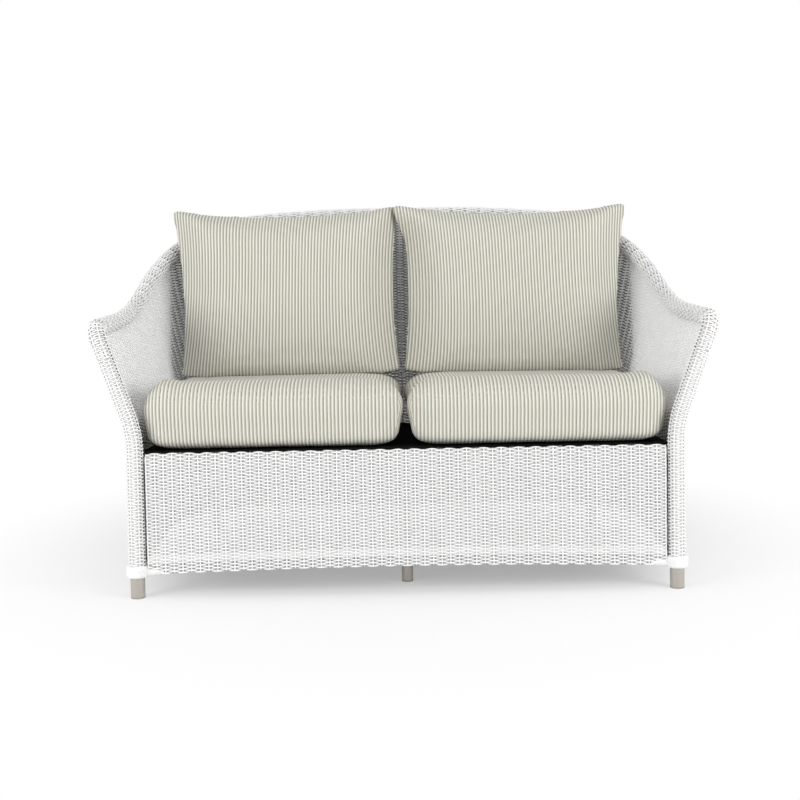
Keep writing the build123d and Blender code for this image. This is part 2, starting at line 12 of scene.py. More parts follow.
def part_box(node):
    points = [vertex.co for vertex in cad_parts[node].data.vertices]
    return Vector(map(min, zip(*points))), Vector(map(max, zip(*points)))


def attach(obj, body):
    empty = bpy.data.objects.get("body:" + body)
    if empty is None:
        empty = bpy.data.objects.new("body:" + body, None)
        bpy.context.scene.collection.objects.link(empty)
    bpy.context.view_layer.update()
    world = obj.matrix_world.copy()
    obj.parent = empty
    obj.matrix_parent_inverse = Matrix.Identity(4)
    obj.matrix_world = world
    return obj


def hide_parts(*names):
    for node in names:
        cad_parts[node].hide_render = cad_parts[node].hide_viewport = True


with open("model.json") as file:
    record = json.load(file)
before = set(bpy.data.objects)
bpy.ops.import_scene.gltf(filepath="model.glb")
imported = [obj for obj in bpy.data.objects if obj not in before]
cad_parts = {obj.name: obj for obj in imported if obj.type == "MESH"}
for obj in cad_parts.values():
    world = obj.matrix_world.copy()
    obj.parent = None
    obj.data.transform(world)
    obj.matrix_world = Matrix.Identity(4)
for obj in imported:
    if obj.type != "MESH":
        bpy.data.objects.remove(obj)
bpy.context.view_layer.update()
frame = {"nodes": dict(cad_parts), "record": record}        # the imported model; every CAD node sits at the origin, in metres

bl_info = {
    "name": "Woven patio loveseat",
    "version": (1, 0, 0),
    "blender": (4, 5, 0),
    "location": "3D View > Sidebar > Loveseat",
    "description": "Builds the weave, wraps, cushions, tubes and studio of a woven patio loveseat",
    "category": "Object",
}

FRAME_BODY = "frame"
PATTERN_MAP = "cloth"
SIDES = {"left": -1, "right": 1}
WRAP_STAKES = 6
CORNER_STAKES = 24
BITS_PER_STAKE = 3
RING_BITS = 14
BEND_SHARE = 0.45
# A strand is laid where it stays this near to its CAD panel
PANEL_LIMIT = 0.0055
# Lamps: place, target and diameter
FRONT_LAMPS = (("left front light", (-3.5, -2.6, 1.6), (0.2, 0, 0.4), 2.4),
               ("right front light", (3.5, -2.6, 1.6), (-0.2, 0, 0.4), 2.4))
TOP_LAMP = ("overhead light", (0.3, -0.3, 3.6), (0, 0, 0.3), 3.4)
FLOOR_SIZE = 14
# The floor turns plain white between these distances, from this share
FLOOR_FADE = (("From Min", 0.45), ("From Max", 1.35), ("To Min", 0.35), ("To Max", 1.0))

# The wrapped rail climbs from the arm to the crown: corner angle in degrees, and share of the climb
RAIL_RISE = ((2, 0.02), (16, 0.11), (31, 0.33), (46, 0.585), (62, 0.79), (78, 0.925))
# Inside the corners the painted shade of the weave deepens behind the back cushions: height, and stakes round the
# corner
SHADE_EDGE = ((0.50, 0.60, 0.70, 0.87), (7.0, 9.3, 10.9, 12.8))


def length(name, text, default):
    """A length in metres that the user may change."""
    return FloatProperty(name=name, description=text, default=default, unit="LENGTH", subtype="DISTANCE")


def angle(name, text, degrees):
    """An angle that the user may change, with its default given in degrees."""
    return FloatProperty(name=name, description=text, default=math.radians(degrees), subtype="ANGLE")


def amount(name, text, default):
    return FloatProperty(name=name, description=text, default=default)


def offset(name, text, default):
    return FloatVectorProperty(name=name, description=text, default=default, subtype="TRANSLATION")


def colour(name, text, default):
    return FloatVectorProperty(name=name, description=text, default=default, size=4, min=0, max=1,
                               subtype="COLOR")


# Settings

class LoveseatShell(bpy.types.PropertyGroup):
    """Driving sizes of the frame, as in the CAD part."""
    width: length("Width", "Overall width over the arm tips", 1.526)
    depth: length("Depth", "Overall depth from the post fronts to the crown", 0.94)
    arm_height: length("Arm height", "Top of the arm tips", 0.6745)
    crown_height: length("Crown height", "Top of the back", 0.931)
    knee_height: length("Knee height", "Height where the shell starts to lean out", 0.4)
    flare: angle("Flare", "Lean of the shell above the knee", 19.5)
    corner_radius: length("Corner radius", "Radius of the back corners at the foot of the shell", 0.25)
    knee_bend: length("Knee bend", "Bend radius at the knee", 0.26)
    tip_bend: length("Tip bend", "Bend radius of the rail at the arm tips", 0.042)
    arm_dip: length("Arm dip", "How far the arm dips behind its tip", 0.005)
    arm_dip_place: length("Arm dip place", "Distance of the dip from the front", 0.33)
    crown_flat: length("Crown flat", "Half length of the level stretch of the crown", 0.25)
    wrap_radius: length("Wrap radius", "Outer radius of the wrapped posts and rails", 0.0225)
    upright_wrap: length("Upright wrap radius", "Outer radius of the wrapped rear uprights", 0.019)
    upright_angle: angle("Upright angle", "Place of the rear uprights round the corners", 54)
    hem_height: length("Hem height", "Lower edge of the weave", 0.056)
    cuff_top: length("Cuff top", "Upper edge of the cuffs", 0.079)
    skirt_setback: length("Skirt setback", "Distance of the skirt's face from the post fronts", 0.0135)
    skirt_top: length("Skirt top", "Height of the skirt's upper edge", 0.349)
    skirt_curl_angle: angle("Skirt curl angle", "How far the skirt curls over the seat rail", 50)
    skirt_curl: length("Skirt curl", "Radius of the skirt's curl over the seat rail", 0.0211)
    hem_arch: length("Hem arch", "Rise of the skirt's hem at its middle", 0.01)


class LoveseatStrand(bpy.types.PropertyGroup):
    """Strand and pitch of the plain weave."""
    weft: length("Weft", "Diameter of the strands that run along", 0.0041)
    stake: length("Stake", "Diameter of the upright strands", 0.0042)
    row_pitch: length("Row pitch", "Distance between rows of weft", 0.0042)
    stake_pitch: length("Stake pitch", "Distance between stakes", 0.021)
    depth: length("Weave depth", "How far a weft swings out round a stake", 0.0019)
    jitter: length("Jitter", "Unevenness of the strands", 0.00022)
    sides: IntProperty(name="Sides", description="Faces round a strand", default=5, min=3, max=12)
    seed: IntProperty(name="Seed", description="Seed of the unevenness", default=11)
    white: colour("Strand white", "Colour of the strands", (0.90, 0.90, 0.898, 1))
    # Recess shade is a painted shade colour, mixed into the strands where they turn into the weave
    shade: colour("Recess shade", "Colour deep in the weave", (0.022, 0.022, 0.023, 1))


class LoveseatCushion(bpy.types.PropertyGroup):
    """Cover and fill of the cushions."""
    voxel: length("Voxel", "Grid of the simulated mesh", 0.010)
    shrink: length("Shrink", "How much smaller the cover starts than its space", 0.004)
    seat_cap: length("Seat cap", "Furthest a point of a seat cushion may move", 0.006)
    back_cap: length("Back cap", "Furthest a point of a back cushion may move", 0.010)
    slack: length("Slack", "Room between a cover and its space", 0.001)
    press: length("Press", "How far the back cushions press the seat covers down", 0.018)
    shoulder: length("Shoulder", "How far the seat covers rise beside the arms", 0.012)
    ear_draw: offset("Ear draw", "How far the right back cushion's inner ear is drawn", (-0.029, -0.032, 0.003))
    ear_reach: length("Ear reach", "How far round the ear the cover follows", 0.13)
    seat_fall: angle("Seat fall", "Slope of the seat cushions down to the back", 3.8)
    back_lean: angle("Back lean", "Lean of the back cushions", 23)
    pressure: amount("Pressure", "Pressure of the fill", 4.0)
    frames: IntProperty(name="Frames", description="Length of the simulation", default=20, min=2)
    stripe: length("Stripe repeat", "Distance between lines of the same colour", 0.0178)
    dash: length("Dash", "Length of a dash and its gap in the dark line", 0.0042)
    ground: colour("Ground", "Sage ground of the cover", (0.45, 0.442, 0.378, 1))
    cream: colour("Cream", "Light stripe of the cover", (0.745, 0.732, 0.665, 1))
    slate: colour("Slate line", "Dashed dark line of the cover", (0.045, 0.045, 0.042, 1))
    olive: colour("Olive line", "Plain line of the cover", (0.17, 0.15, 0.105, 1))


class LoveseatMetal(bpy.types.PropertyGroup):
    """Finishes of the tubes, straps and glides."""
    tube: colour("Tube", "Champagne paint of the tubes", (0.45, 0.425, 0.385, 1))
    strap: colour("Strap", "Black webbing", (0.004, 0.004, 0.004, 1))
    glide: colour("Glide", "Plastic of the foot glides", (0.30, 0.28, 0.25, 1))


class LoveseatStage(bpy.types.PropertyGroup):
    """Camera and light of the studio."""
    camera_place: offset("Camera place", "Where the camera stands", (-0.0321, -3.6333, 0.9195))
    heading: angle("Heading", "Turn of the camera to the right", 0.5)
    pitch: angle("Pitch", "Tilt of the camera, down is positive", 3.12)
    roll: angle("Roll", "Roll of the camera", 0.976)
    lens: amount("Lens", "Focal length in mm", 60.18)
    shift: amount("Shift", "Upward shift of the view, in image widths", -0.145)
    sky: amount("Sky", "Strength of the even light from all round", 0.50)
    key: amount("Key", "Power of each of the two large front lights", 98.0)
    top: amount("Top", "Power of the overhead light", 22.0)


SETTINGS = {
    "loveseat_shell": LoveseatShell,
    "loveseat_strand": LoveseatStrand,
    "loveseat_cushion": LoveseatCushion,
    "loveseat_metal": LoveseatMetal,
    "loveseat_stage": LoveseatStage,
}


# Materials

def new_material(name):
    """Node material with a Principled shader; gives back the material, its tree and the shader."""
    material = bpy.data.materials.new(name)
    material.use_nodes = True
    tree = material.node_tree
    return material, tree, tree.nodes["Principled BSDF"]


def tinted(colour, share):
    """A colour made lighter or darker."""
    return tuple(min(1.0, channel * share) for channel in colour[:3]) + (1,)


def surface(shader, roughness, specular=0.5):
    shader.inputs["Roughness"].default_value = roughness
    shader.inputs["Specular IOR Level"].default_value = specular


def maths(tree, operation, *values):
    """Math node; a value is a number or a socket."""
    node = tree.nodes.new("ShaderNodeMath")
    node.operation = operation
    for socket, value in zip(node.inputs, values):
        if isinstance(value, bpy.types.NodeSocket):
            tree.links.new(value, socket)
        else:
            socket.default_value = value
    return node.outputs[0]


def blend_colours(tree, factor, first, second):
    """Mix of two colours; each is a colour or a socket."""
    mix = tree.nodes.new("ShaderNodeMix")
    mix.data_type = "RGBA"
    for socket, value in ((mix.inputs[0], factor), (mix.inputs[6], first), (mix.inputs[7], second)):
        if isinstance(value, bpy.types.NodeSocket):
            tree.links.new(value, socket)
        else:
            socket.default_value = value
    return mix.outputs[2]


def grain(tree, scale, detail, coordinates=None):
    """Noise in Object coordinates, or in the given ones."""
    noise = tree.nodes.new("ShaderNodeTexNoise")
    noise.inputs["Scale"].default_value = scale
    noise.inputs["Detail"].default_value = detail
    if coordinates is None:
        coordinates = tree.nodes.new("ShaderNodeTexCoord").outputs["Object"]
    tree.links.new(coordinates, noise.inputs["Vector"])
    return noise.outputs["Fac"]


def bump(tree, shader, height, strength, distance):
    node = tree.nodes.new("ShaderNodeBump")
    node.inputs["Strength"].default_value = strength
    node.inputs["Distance"].default_value = distance
    tree.links.new(height, node.inputs["Height"])
    tree.links.new(node.outputs["Normal"], shader.inputs["Normal"])


def strand_material(settings):
    """White moulded strand: slightly uneven, with painted shade where it turns into the weave."""
    material, tree, shader = new_material("white strand")
    patches = grain(tree, 34.0, 3.0)
    face = blend_colours(tree, patches, tinted(settings.white, 0.95), tinted(settings.white, 1.03))
    painted_recess_shade = tree.nodes.new("ShaderNodeAttribute")
    painted_recess_shade.attribute_name = "painted_recess_shade"
    # Painted shade: the strand colour is mixed towards the shade colour by its painted recess amount
    depth = maths(tree, "POWER", painted_recess_shade.outputs["Fac"], 1.15)
    tree.links.new(blend_colours(tree, depth, face, tuple(settings.shade)), shader.inputs["Base Color"])
    surface(shader, 0.42, 0.35)
    bump(tree, shader, grain(tree, 900.0, 2.0), 0.25, 0.0004)
    return material


def smooth_white_material(settings):
    """Wound strand of the cuffs, pressed smooth, with the turns still showing faintly."""
    material, tree, shader = new_material("white cuff")
    patches = grain(tree, 60.0, 3.0)
    tree.links.new(blend_colours(tree, patches, tinted(settings.white, 0.93), tuple(settings.white)),
                   shader.inputs["Base Color"])
    surface(shader, 0.4)
    turns = tree.nodes.new("ShaderNodeTexWave")
    turns.bands_direction = "Z"
    turns.inputs["Scale"].default_value = 75.0
    turns.inputs["Distortion"].default_value = 0.6
    coordinates = tree.nodes.new("ShaderNodeTexCoord")
    tree.links.new(coordinates.outputs["Object"], turns.inputs["Vector"])
    bump(tree, shader, turns.outputs["Fac"], 0.5, 0.0012)
    return material


def tube_material(settings):
    """Champagne paint over alloy: fine metallic grain and faint scuffs."""
    material, tree, shader = new_material("champagne tube")
    flakes = grain(tree, 1400.0, 2.0)
    scuffs = grain(tree, 26.0, 6.0)
    tree.links.new(blend_colours(tree, flakes, tinted(settings.tube, 0.88), tinted(settings.tube, 1.12)),
                   shader.inputs["Base Color"])
    shader.inputs["Metallic"].default_value = 0.55
    rough = maths(tree, "MULTIPLY_ADD", scuffs, 0.2, 0.26)
    tree.links.new(rough, shader.inputs["Roughness"])
    bump(tree, shader, flakes, 0.08, 0.0002)
    return material


def strap_material(settings):
    """Black webbing with a fine diagonal rib."""
    material, tree, shader = new_material("black webbing")
    ribs = tree.nodes.new("ShaderNodeTexWave")
    ribs.bands_direction = "DIAGONAL"
    ribs.inputs["Scale"].default_value = 190.0
    ribs.inputs["Distortion"].default_value = 0.4
    coordinates = tree.nodes.new("ShaderNodeTexCoord")
    tree.links.new(coordinates.outputs["Object"], ribs.inputs["Vector"])
    lifted = tuple(min(1.0, channel * 2.2 + 0.004) for channel in settings.strap[:3]) + (1,)
    tree.links.new(blend_colours(tree, ribs.outputs["Fac"], tuple(settings.strap), lifted),
                   shader.inputs["Base Color"])
    surface(shader, 0.9, 0.05)
    bump(tree, shader, ribs.outputs["Fac"], 0.6, 0.0006)
    return material


def glide_material(settings):
    """Moulded plastic of the glides."""
    material, tree, shader = new_material("foot glide")
    mottle = grain(tree, 300.0, 4.0)
    tree.links.new(blend_colours(tree, mottle, tuple(settings.glide), tinted(settings.glide, 1.2)),
                   shader.inputs["Base Color"])
    surface(shader, 0.6)
    bump(tree, shader, mottle, 0.2, 0.0003)
    return material


def cover_material(settings):
    """Striped cover: cream and sage, with a dashed slate line and a plain olive line in each repeat."""
    material, tree, shader = new_material("striped cover")
    pattern = tree.nodes.new("ShaderNodeUVMap")
    pattern.uv_map = PATTERN_MAP
    split = tree.nodes.new("ShaderNodeSeparateXYZ")
    tree.links.new(pattern.outputs["UV"], split.inputs[0])
    across, along = split.outputs["X"], split.outputs["Y"]
    wander = maths(tree, "MULTIPLY_ADD", grain(tree, 55.0, 2.0), 0.0012, -0.0006)
    placed = maths(tree, "ADD", across, wander)
    repeat = maths(tree, "FRACT", maths(tree, "MULTIPLY", placed, 1 / settings.stripe))
    half = maths(tree, "FRACT", maths(tree, "MULTIPLY", repeat, 2.0))

    bands = tree.nodes.new("ShaderNodeValToRGB")
    bands.color_ramp.interpolation = "EASE"
    tree.links.new(half, bands.inputs["Fac"])
    ramp = bands.color_ramp.elements
    ramp[0].position, ramp[0].color = 0.0, tuple(settings.ground)
    ramp[1].position, ramp[1].color = 1.0, tuple(settings.ground)
    for position, tone in ((0.22, settings.ground), (0.34, settings.cream), (0.62, settings.cream),
                           (0.74, settings.ground)):
        ramp.new(position).color = tuple(tone)

    nearness = maths(tree, "ABSOLUTE", maths(tree, "SUBTRACT", half, 0.09))
    slope = maths(tree, "MULTIPLY_ADD", nearness, -14.0, 1.35)
    line = maths(tree, "SMOOTH_MIN", maths(tree, "MAXIMUM", slope, 0.0), 1.0, 0.3)
    first = maths(tree, "LESS_THAN", repeat, 0.5)
    dash_run = maths(tree, "FRACT", maths(tree, "MULTIPLY", along, 1 / settings.dash))
    dashes = maths(tree, "MULTIPLY_ADD", maths(tree, "GREATER_THAN", dash_run, 0.42), 0.75, 0.25)
    dark_line = maths(tree, "MULTIPLY", maths(tree, "MULTIPLY", line, first), dashes)
    second = maths(tree, "SUBTRACT", 1.0, first)
    plain_line = maths(tree, "MULTIPLY", maths(tree, "MULTIPLY", line, second), 0.8)
    striped = blend_colours(tree, dark_line, bands.outputs["Color"], tuple(settings.slate))
    striped = blend_colours(tree, plain_line, striped, tuple(settings.olive))

    speckle = grain(tree, 1500.0, 2.0)
    dimmed = tree.nodes.new("ShaderNodeHueSaturation")
    tree.links.new(maths(tree, "MULTIPLY_ADD", speckle, 0.22, 0.89), dimmed.inputs["Value"])
    tree.links.new(striped, dimmed.inputs["Color"])
    tree.links.new(dimmed.outputs["Color"], shader.inputs["Base Color"])
    surface(shader, 0.9, 0.15)
    shader.inputs["Sheen Weight"].default_value = 0.12

    threads_across = maths(tree, "SINE", maths(tree, "MULTIPLY", across, 2 * math.pi / 0.0011))
    threads_along = maths(tree, "SINE", maths(tree, "MULTIPLY", along, 2 * math.pi / 0.0011))
    cloth = maths(tree, "ADD", maths(tree, "MULTIPLY", threads_across, threads_along), speckle)
    bump(tree, shader, cloth, 0.25, 0.0004)
    return material


# Mesh helpers

def plain_mesh(piece):
    """Turns what the modifiers of a piece make into its plain mesh."""
    graph = bpy.context.evaluated_depsgraph_get()
    made = bpy.data.meshes.new_from_object(piece.evaluated_get(graph))
    piece.modifiers.clear()
    rough = piece.data
    piece.data = made
    bpy.data.meshes.remove(rough)


def new_piece(name, mesh):
    piece = bpy.data.objects.new(name, mesh)
    bpy.context.scene.collection.objects.link(piece)
    return piece


def panel_reach(node):
    """Function that gives the distance from a point to a CAD node's surface."""
    mesh = frame["nodes"][node].data
    corners = [v.co.copy() for v in mesh.vertices]
    faces = [tuple(p.vertices) for p in mesh.polygons]
    tree = BVHTree.FromPolygons(corners, faces)

    def reach(point):
        found = tree.find_nearest(point)
        return found[3] if found[3] is not None else 1.0
    return reach


def corners_of(piece):
    return np.array([v.co[:] for v in piece.data.vertices])


def set_corners(piece, corners):
    piece.data.vertices.foreach_set("co", corners.ravel())
    piece.data.update()


class Guides:
    """Polylines that strands follow, with the attributes that the weave reads.

    beat counts stakes, swing scales the depth, and outer and inner are the strengths of the painted recess shade
    on each side.
    """

    def __init__(self):
        self.points = []
        self.edges = []
        self.beat = []
        self.outward = []
        self.swing = []
        self.outer = []
        self.inner = []

    def add(self, points, beats, outwards, swing=1.0, outer=1.0, inner=0.6, closed=False):
        if len(points) < 2:
            return
        first = len(self.points)
        count = len(points)
        self.points.extend(points)
        self.beat.extend(beats)
        self.outward.extend(outwards)
        self.swing.extend([swing] * count)
        self.outer.extend(np.broadcast_to(outer, count))
        self.inner.extend(np.broadcast_to(inner, count))
        self.edges.extend((first + i, first + i + 1) for i in range(count - 1))
        if closed:
            self.edges.append((first + count - 1, first))

    def mesh(self, name):
        made = bpy.data.meshes.new(name)
        made.from_pydata(np.array(self.points).tolist(), self.edges, [])
        for title, kind, field, values in (
            ("beat", "FLOAT", "value", self.beat),
            ("swing", "FLOAT", "value", self.swing),
            ("outer", "FLOAT", "value", self.outer),
            ("inner", "FLOAT", "value", self.inner),
            ("outward", "FLOAT_VECTOR", "vector", self.outward),
        ):
            layer = made.attributes.new(title, kind, "POINT")
            layer.data.foreach_set(field, np.array(values, dtype=np.float32).ravel())
        return made


# Node tree of the weave

def strand_tree():
    """Geometry Nodes: guides swing in and out round the stakes and become round strands."""
    if "Woven strand" in bpy.data.node_groups:
        return bpy.data.node_groups["Woven strand"]
    tree = bpy.data.node_groups.new("Woven strand", "GeometryNodeTree")
    face = tree.interface
    face.new_socket("Guides", in_out="INPUT", socket_type="NodeSocketGeometry")
    for title, kind, value in (
        ("Strand Diameter", "NodeSocketFloat", 0.004), ("Weave Depth", "NodeSocketFloat", 0.002),
        ("Jitter", "NodeSocketFloat", 0.0002), ("Sides", "NodeSocketInt", 5), ("Seed", "NodeSocketInt", 0),
    ):
        face.new_socket(title, in_out="INPUT", socket_type=kind).default_value = value
    face.new_socket("Material", in_out="INPUT", socket_type="NodeSocketMaterial")
    face.new_socket("Strands", in_out="OUTPUT", socket_type="NodeSocketGeometry")
    nodes, links = tree.nodes, tree.links
    given = nodes.new("NodeGroupInput").outputs

    def attribute(title, kind):
        node = nodes.new("GeometryNodeInputNamedAttribute")
        node.data_type = kind
        node.inputs["Name"].default_value = title
        return node.outputs["Attribute"]

    def scaled(vector, share):
        node = nodes.new("ShaderNodeVectorMath")
        node.operation = "SCALE"
        links.new(vector, node.inputs[0])
        links.new(share, node.inputs["Scale"])
        return node.outputs[0]

    beat, swing = attribute("beat", "FLOAT"), attribute("swing", "FLOAT")
    outward = attribute("outward", "FLOAT_VECTOR")
    wave = maths(tree, "COSINE", maths(tree, "MULTIPLY", beat, math.pi))
    depth = maths(tree, "MULTIPLY", maths(tree, "MULTIPLY", wave, swing), given["Weave Depth"])
    lift = scaled(outward, depth)
    uneven = nodes.new("FunctionNodeRandomValue")
    uneven.data_type = "FLOAT_VECTOR"
    uneven.inputs["Min"].default_value = (-1, -1, -1)
    links.new(given["Seed"], uneven.inputs["Seed"])
    total = nodes.new("ShaderNodeVectorMath")
    links.new(lift, total.inputs[0])
    links.new(scaled(uneven.outputs[0], given["Jitter"]), total.inputs[1])
    place = nodes.new("GeometryNodeSetPosition")
    links.new(given["Guides"], place.inputs["Geometry"])
    links.new(total.outputs[0], place.inputs["Offset"])
    curves = nodes.new("GeometryNodeMeshToCurve")
    links.new(place.outputs[0], curves.inputs["Mesh"])

    ring = nodes.new("GeometryNodeCurvePrimitiveCircle")
    links.new(given["Sides"], ring.inputs["Resolution"])
    links.new(maths(tree, "MULTIPLY", given["Strand Diameter"], 0.5), ring.inputs["Radius"])
    strand = nodes.new("GeometryNodeCurveToMesh")
    strand.inputs["Fill Caps"].default_value = True
    links.new(curves.outputs[0], strand.inputs["Curve"])
    links.new(ring.outputs[0], strand.inputs["Profile Curve"])

    # Painted shade: each strand side turned into the weave gets a recess amount, scaled by the outer or inner
    # strength, which the material darkens by
    facing = nodes.new("ShaderNodeVectorMath")
    facing.operation = "DOT_PRODUCT"
    links.new(nodes.new("GeometryNodeInputNormal").outputs[0], facing.inputs[0])
    links.new(outward, facing.inputs[1])
    turned = maths(tree, "MULTIPLY", maths(tree, "MULTIPLY", facing.outputs["Value"], wave), -1.0)
    outside = maths(tree, "GREATER_THAN", facing.outputs["Value"], 0.0)
    shade_strength = maths(tree, "ADD", maths(tree, "MULTIPLY", outside, attribute("outer", "FLOAT")),
                     maths(tree, "MULTIPLY", maths(tree, "SUBTRACT", 1.0, outside), attribute("inner", "FLOAT")))
    deep = maths(tree, "MULTIPLY", maths(tree, "MAXIMUM", turned, 0.0), shade_strength)
    store = nodes.new("GeometryNodeStoreNamedAttribute")
    store.inputs["Name"].default_value = "painted_recess_shade"
    links.new(strand.outputs[0], store.inputs["Geometry"])
    links.new(deep, store.inputs["Value"])
    smooth = nodes.new("GeometryNodeSetShadeSmooth")
    links.new(store.outputs[0], smooth.inputs[0])
    real = nodes.new("GeometryNodeRealizeInstances")
    links.new(smooth.outputs[0], real.inputs[0])
    finish = nodes.new("GeometryNodeSetMaterial")
    links.new(real.outputs[0], finish.inputs["Geometry"])
    links.new(given["Material"], finish.inputs["Material"])
    links.new(finish.outputs[0], nodes.new("NodeGroupOutput").inputs[0])
    return tree


def woven(name, guides, diameter, depth, settings, material, node):
    """Piece of strands that stands for a CAD node and rides on the frame."""
    piece = new_piece(name, guides.mesh(name))
    modifier = piece.modifiers.new("Woven strand", "NODES")
    modifier.node_group = strand_tree()
    given = {
        "Strand Diameter": diameter, "Weave Depth": depth, "Jitter": settings.jitter,
        "Sides": settings.sides, "Seed": settings.seed, "Material": material,
    }
    for item in modifier.node_group.interface.items_tree:
        if item.in_out == "INPUT" and item.name in given:
            modifier[item.identifier] = given[item.name]
    plain_mesh(piece)
    for title in ("beat", "swing", "outer", "inner", "outward"):
        layer = piece.data.attributes.get(title)
        if layer:
            piece.data.attributes.remove(layer)
    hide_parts(node)
    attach(piece, FRAME_BODY)
    return piece


def lay_weave(name, node, wefts, stakes, strand):
    """The two pieces of a woven part: its wefts and its stakes."""
    white = shared_material("white strand")
    woven(name + "_wefts", wefts, strand.weft, strand.depth, strand, white, node)
    woven(name + "_stakes", stakes, strand.stake, 0.0, strand, white, node)


# Shape of the shell

class Shell:
    """The woven shell: a foot line run round the seat, with one section all along it."""

    def __init__(self, sizes, strand):
        slope = math.tan(sizes.flare)
        self.sizes = sizes
        self.slope = slope
        self.front = -sizes.depth / 2
        self.arm_line = sizes.arm_height - sizes.wrap_radius
        self.crown_line = sizes.crown_height - sizes.wrap_radius
        self.tip_x = sizes.width / 2 - sizes.wrap_radius
        self.side_x = self.tip_x - (self.arm_line - sizes.knee_height) * slope
        self.back_y = -self.front - sizes.wrap_radius - (self.crown_line - sizes.knee_height) * slope
        self.post_y = self.front + sizes.wrap_radius
        self.corner_x = self.side_x - sizes.corner_radius
        self.corner_y = self.back_y - sizes.corner_radius
        # Stakes along the side, round a corner and along half of the back
        self.side_count = round((self.corner_y - self.post_y) / strand.stake_pitch)
        self.corner_count = CORNER_STAKES
        self.back_count = round(self.corner_x / strand.stake_pitch)
        self.half_count = self.side_count + self.corner_count + self.back_count

    def foot(self, station):
        """Foot point and outward direction at a stake number, counted from the right post round to the left."""
        mirrored = station > self.half_count
        if mirrored:
            station = 2 * self.half_count - station
        if station <= self.side_count:
            share = station / self.side_count
            point = (self.side_x, self.post_y + share * (self.corner_y - self.post_y))
            out = (1.0, 0.0)
        elif station <= self.side_count + self.corner_count:
            angle = (station - self.side_count) / self.corner_count * math.pi / 2
            out = (math.cos(angle), math.sin(angle))
            radius = self.sizes.corner_radius
            point = (self.corner_x + radius * out[0], self.corner_y + radius * out[1])
        else:
            share = (station - self.side_count - self.corner_count) / self.back_count
            point = (self.corner_x * (1 - share), self.back_y)
            out = (0.0, 1.0)
        if mirrored:
            return (-point[0], point[1]), (-out[0], out[1])
        return point, out

    def inner_shade(self, station, run):
        """Strength of the painted shade in the inner recesses: faint on the arms, deep behind the cushions and
        below the seat, where shade falls.
        """
        height = self.section(run)[1]
        along = min(station, 2 * self.half_count - station) - self.side_count
        # Painted shade: deepest past the edge inside the corners, behind the cushions, and below the seat top
        past = along - np.interp(height, *SHADE_EDGE)
        below = np.clip((0.42 - height) / 0.02, 0, 1)
        return 0.1 + 0.5 * np.clip(past / 5 + 1, 0, 1) + 4.5 * max(np.clip(past / 0.7, 0, 1), below)

    def section(self, run):
        """Reach, height and lean angle at a distance up the section from the hem."""
        sizes = self.sizes
        tangent = sizes.knee_bend * math.tan(sizes.flare / 2)
        straight = sizes.knee_height - tangent - sizes.hem_height
        arc = sizes.knee_bend * sizes.flare
        if run <= straight:
            return 0.0, sizes.hem_height + run, 0.0
        if run <= straight + arc:
            angle = (run - straight) / sizes.knee_bend
            low = sizes.knee_height - tangent
            return sizes.knee_bend * (1 - math.cos(angle)), low + sizes.knee_bend * math.sin(angle), angle
        rest = run - straight - arc
        reach = tangent * math.sin(sizes.flare) + rest * math.sin(sizes.flare)
        height = sizes.knee_height + (tangent + rest) * math.cos(sizes.flare)
        return reach, height, sizes.flare

    def point(self, station, run):
        """Point on the shell's middle and its outward normal."""
        (x, y), (ox, oy) = self.foot(station)
        reach, height, lean = self.section(run)
        level = math.cos(lean)
        return (x + ox * reach, y + oy * reach, height), (ox * level, oy * level, -math.sin(lean))

    def on_corner(self, degrees, height):
        angle = math.radians(degrees)
        reach = self.sizes.corner_radius + (height - self.sizes.knee_height) * self.slope
        return Vector((self.corner_x + reach * math.cos(angle), self.corner_y + reach * math.sin(angle), height))

    def rail_corners(self):
        """Corners of the wrapped rail from the right foot over the crown to the left foot."""
        sizes = self.sizes
        dip = self.arm_line - sizes.arm_dip
        right = [
            Vector((self.side_x, self.post_y, sizes.cuff_top)),
            Vector((self.side_x, self.post_y, sizes.knee_height)),
            Vector((self.tip_x, self.post_y, self.arm_line)),
            Vector((self.side_x + (dip - sizes.knee_height) * self.slope, self.front + sizes.arm_dip_place, dip)),
        ]
        climb = self.crown_line - self.arm_line
        right += [self.on_corner(angle, self.arm_line + share * climb) for angle, share in RAIL_RISE]
        crown_y = self.back_y + (self.crown_line - sizes.knee_height) * self.slope
        right.append(Vector((sizes.crown_flat, crown_y, self.crown_line)))
        return right + [Vector((-p.x, p.y, p.z)) for p in reversed(right)]


def rounded(corners, fixed, step):
    """Points at even steps along a line whose corners are rounded; fixed gives the radius of some corners."""
    line = [corners[0]]
    for i in range(1, len(corners) - 1):
        here = corners[i]
        back, ahead = (corners[i - 1] - here), (corners[i + 1] - here)
        turn = math.pi - back.angle(ahead)
        trim = BEND_SHARE * min(back.length, ahead.length)
        if i in fixed:
            trim = fixed[i] * math.tan(turn / 2)
        start, end = here + back.normalized() * trim, here + ahead.normalized() * trim
        radius = trim / math.tan(turn / 2)
        middle = (back.normalized() + ahead.normalized()).normalized()
        centre = here + middle * (radius / math.cos(turn / 2))
        bits = max(4, int(turn / math.radians(3)))
        for k in range(bits + 1):
            arm = (start - centre).lerp(end - centre, k / bits)
            line.append(centre + arm.normalized() * radius)
    line.append(corners[-1])
    gaps = np.array([(b - a).length for a, b in zip(line, line[1:])])
    run = np.concatenate(([0.0], np.cumsum(gaps)))
    count = max(2, round(run[-1] / step))
    even = np.linspace(0, run[-1], count + 1)
    coordinates = np.array([tuple(p) for p in line])
    return np.stack([np.interp(even, run, coordinates[:, axis]) for axis in range(3)], axis=1)


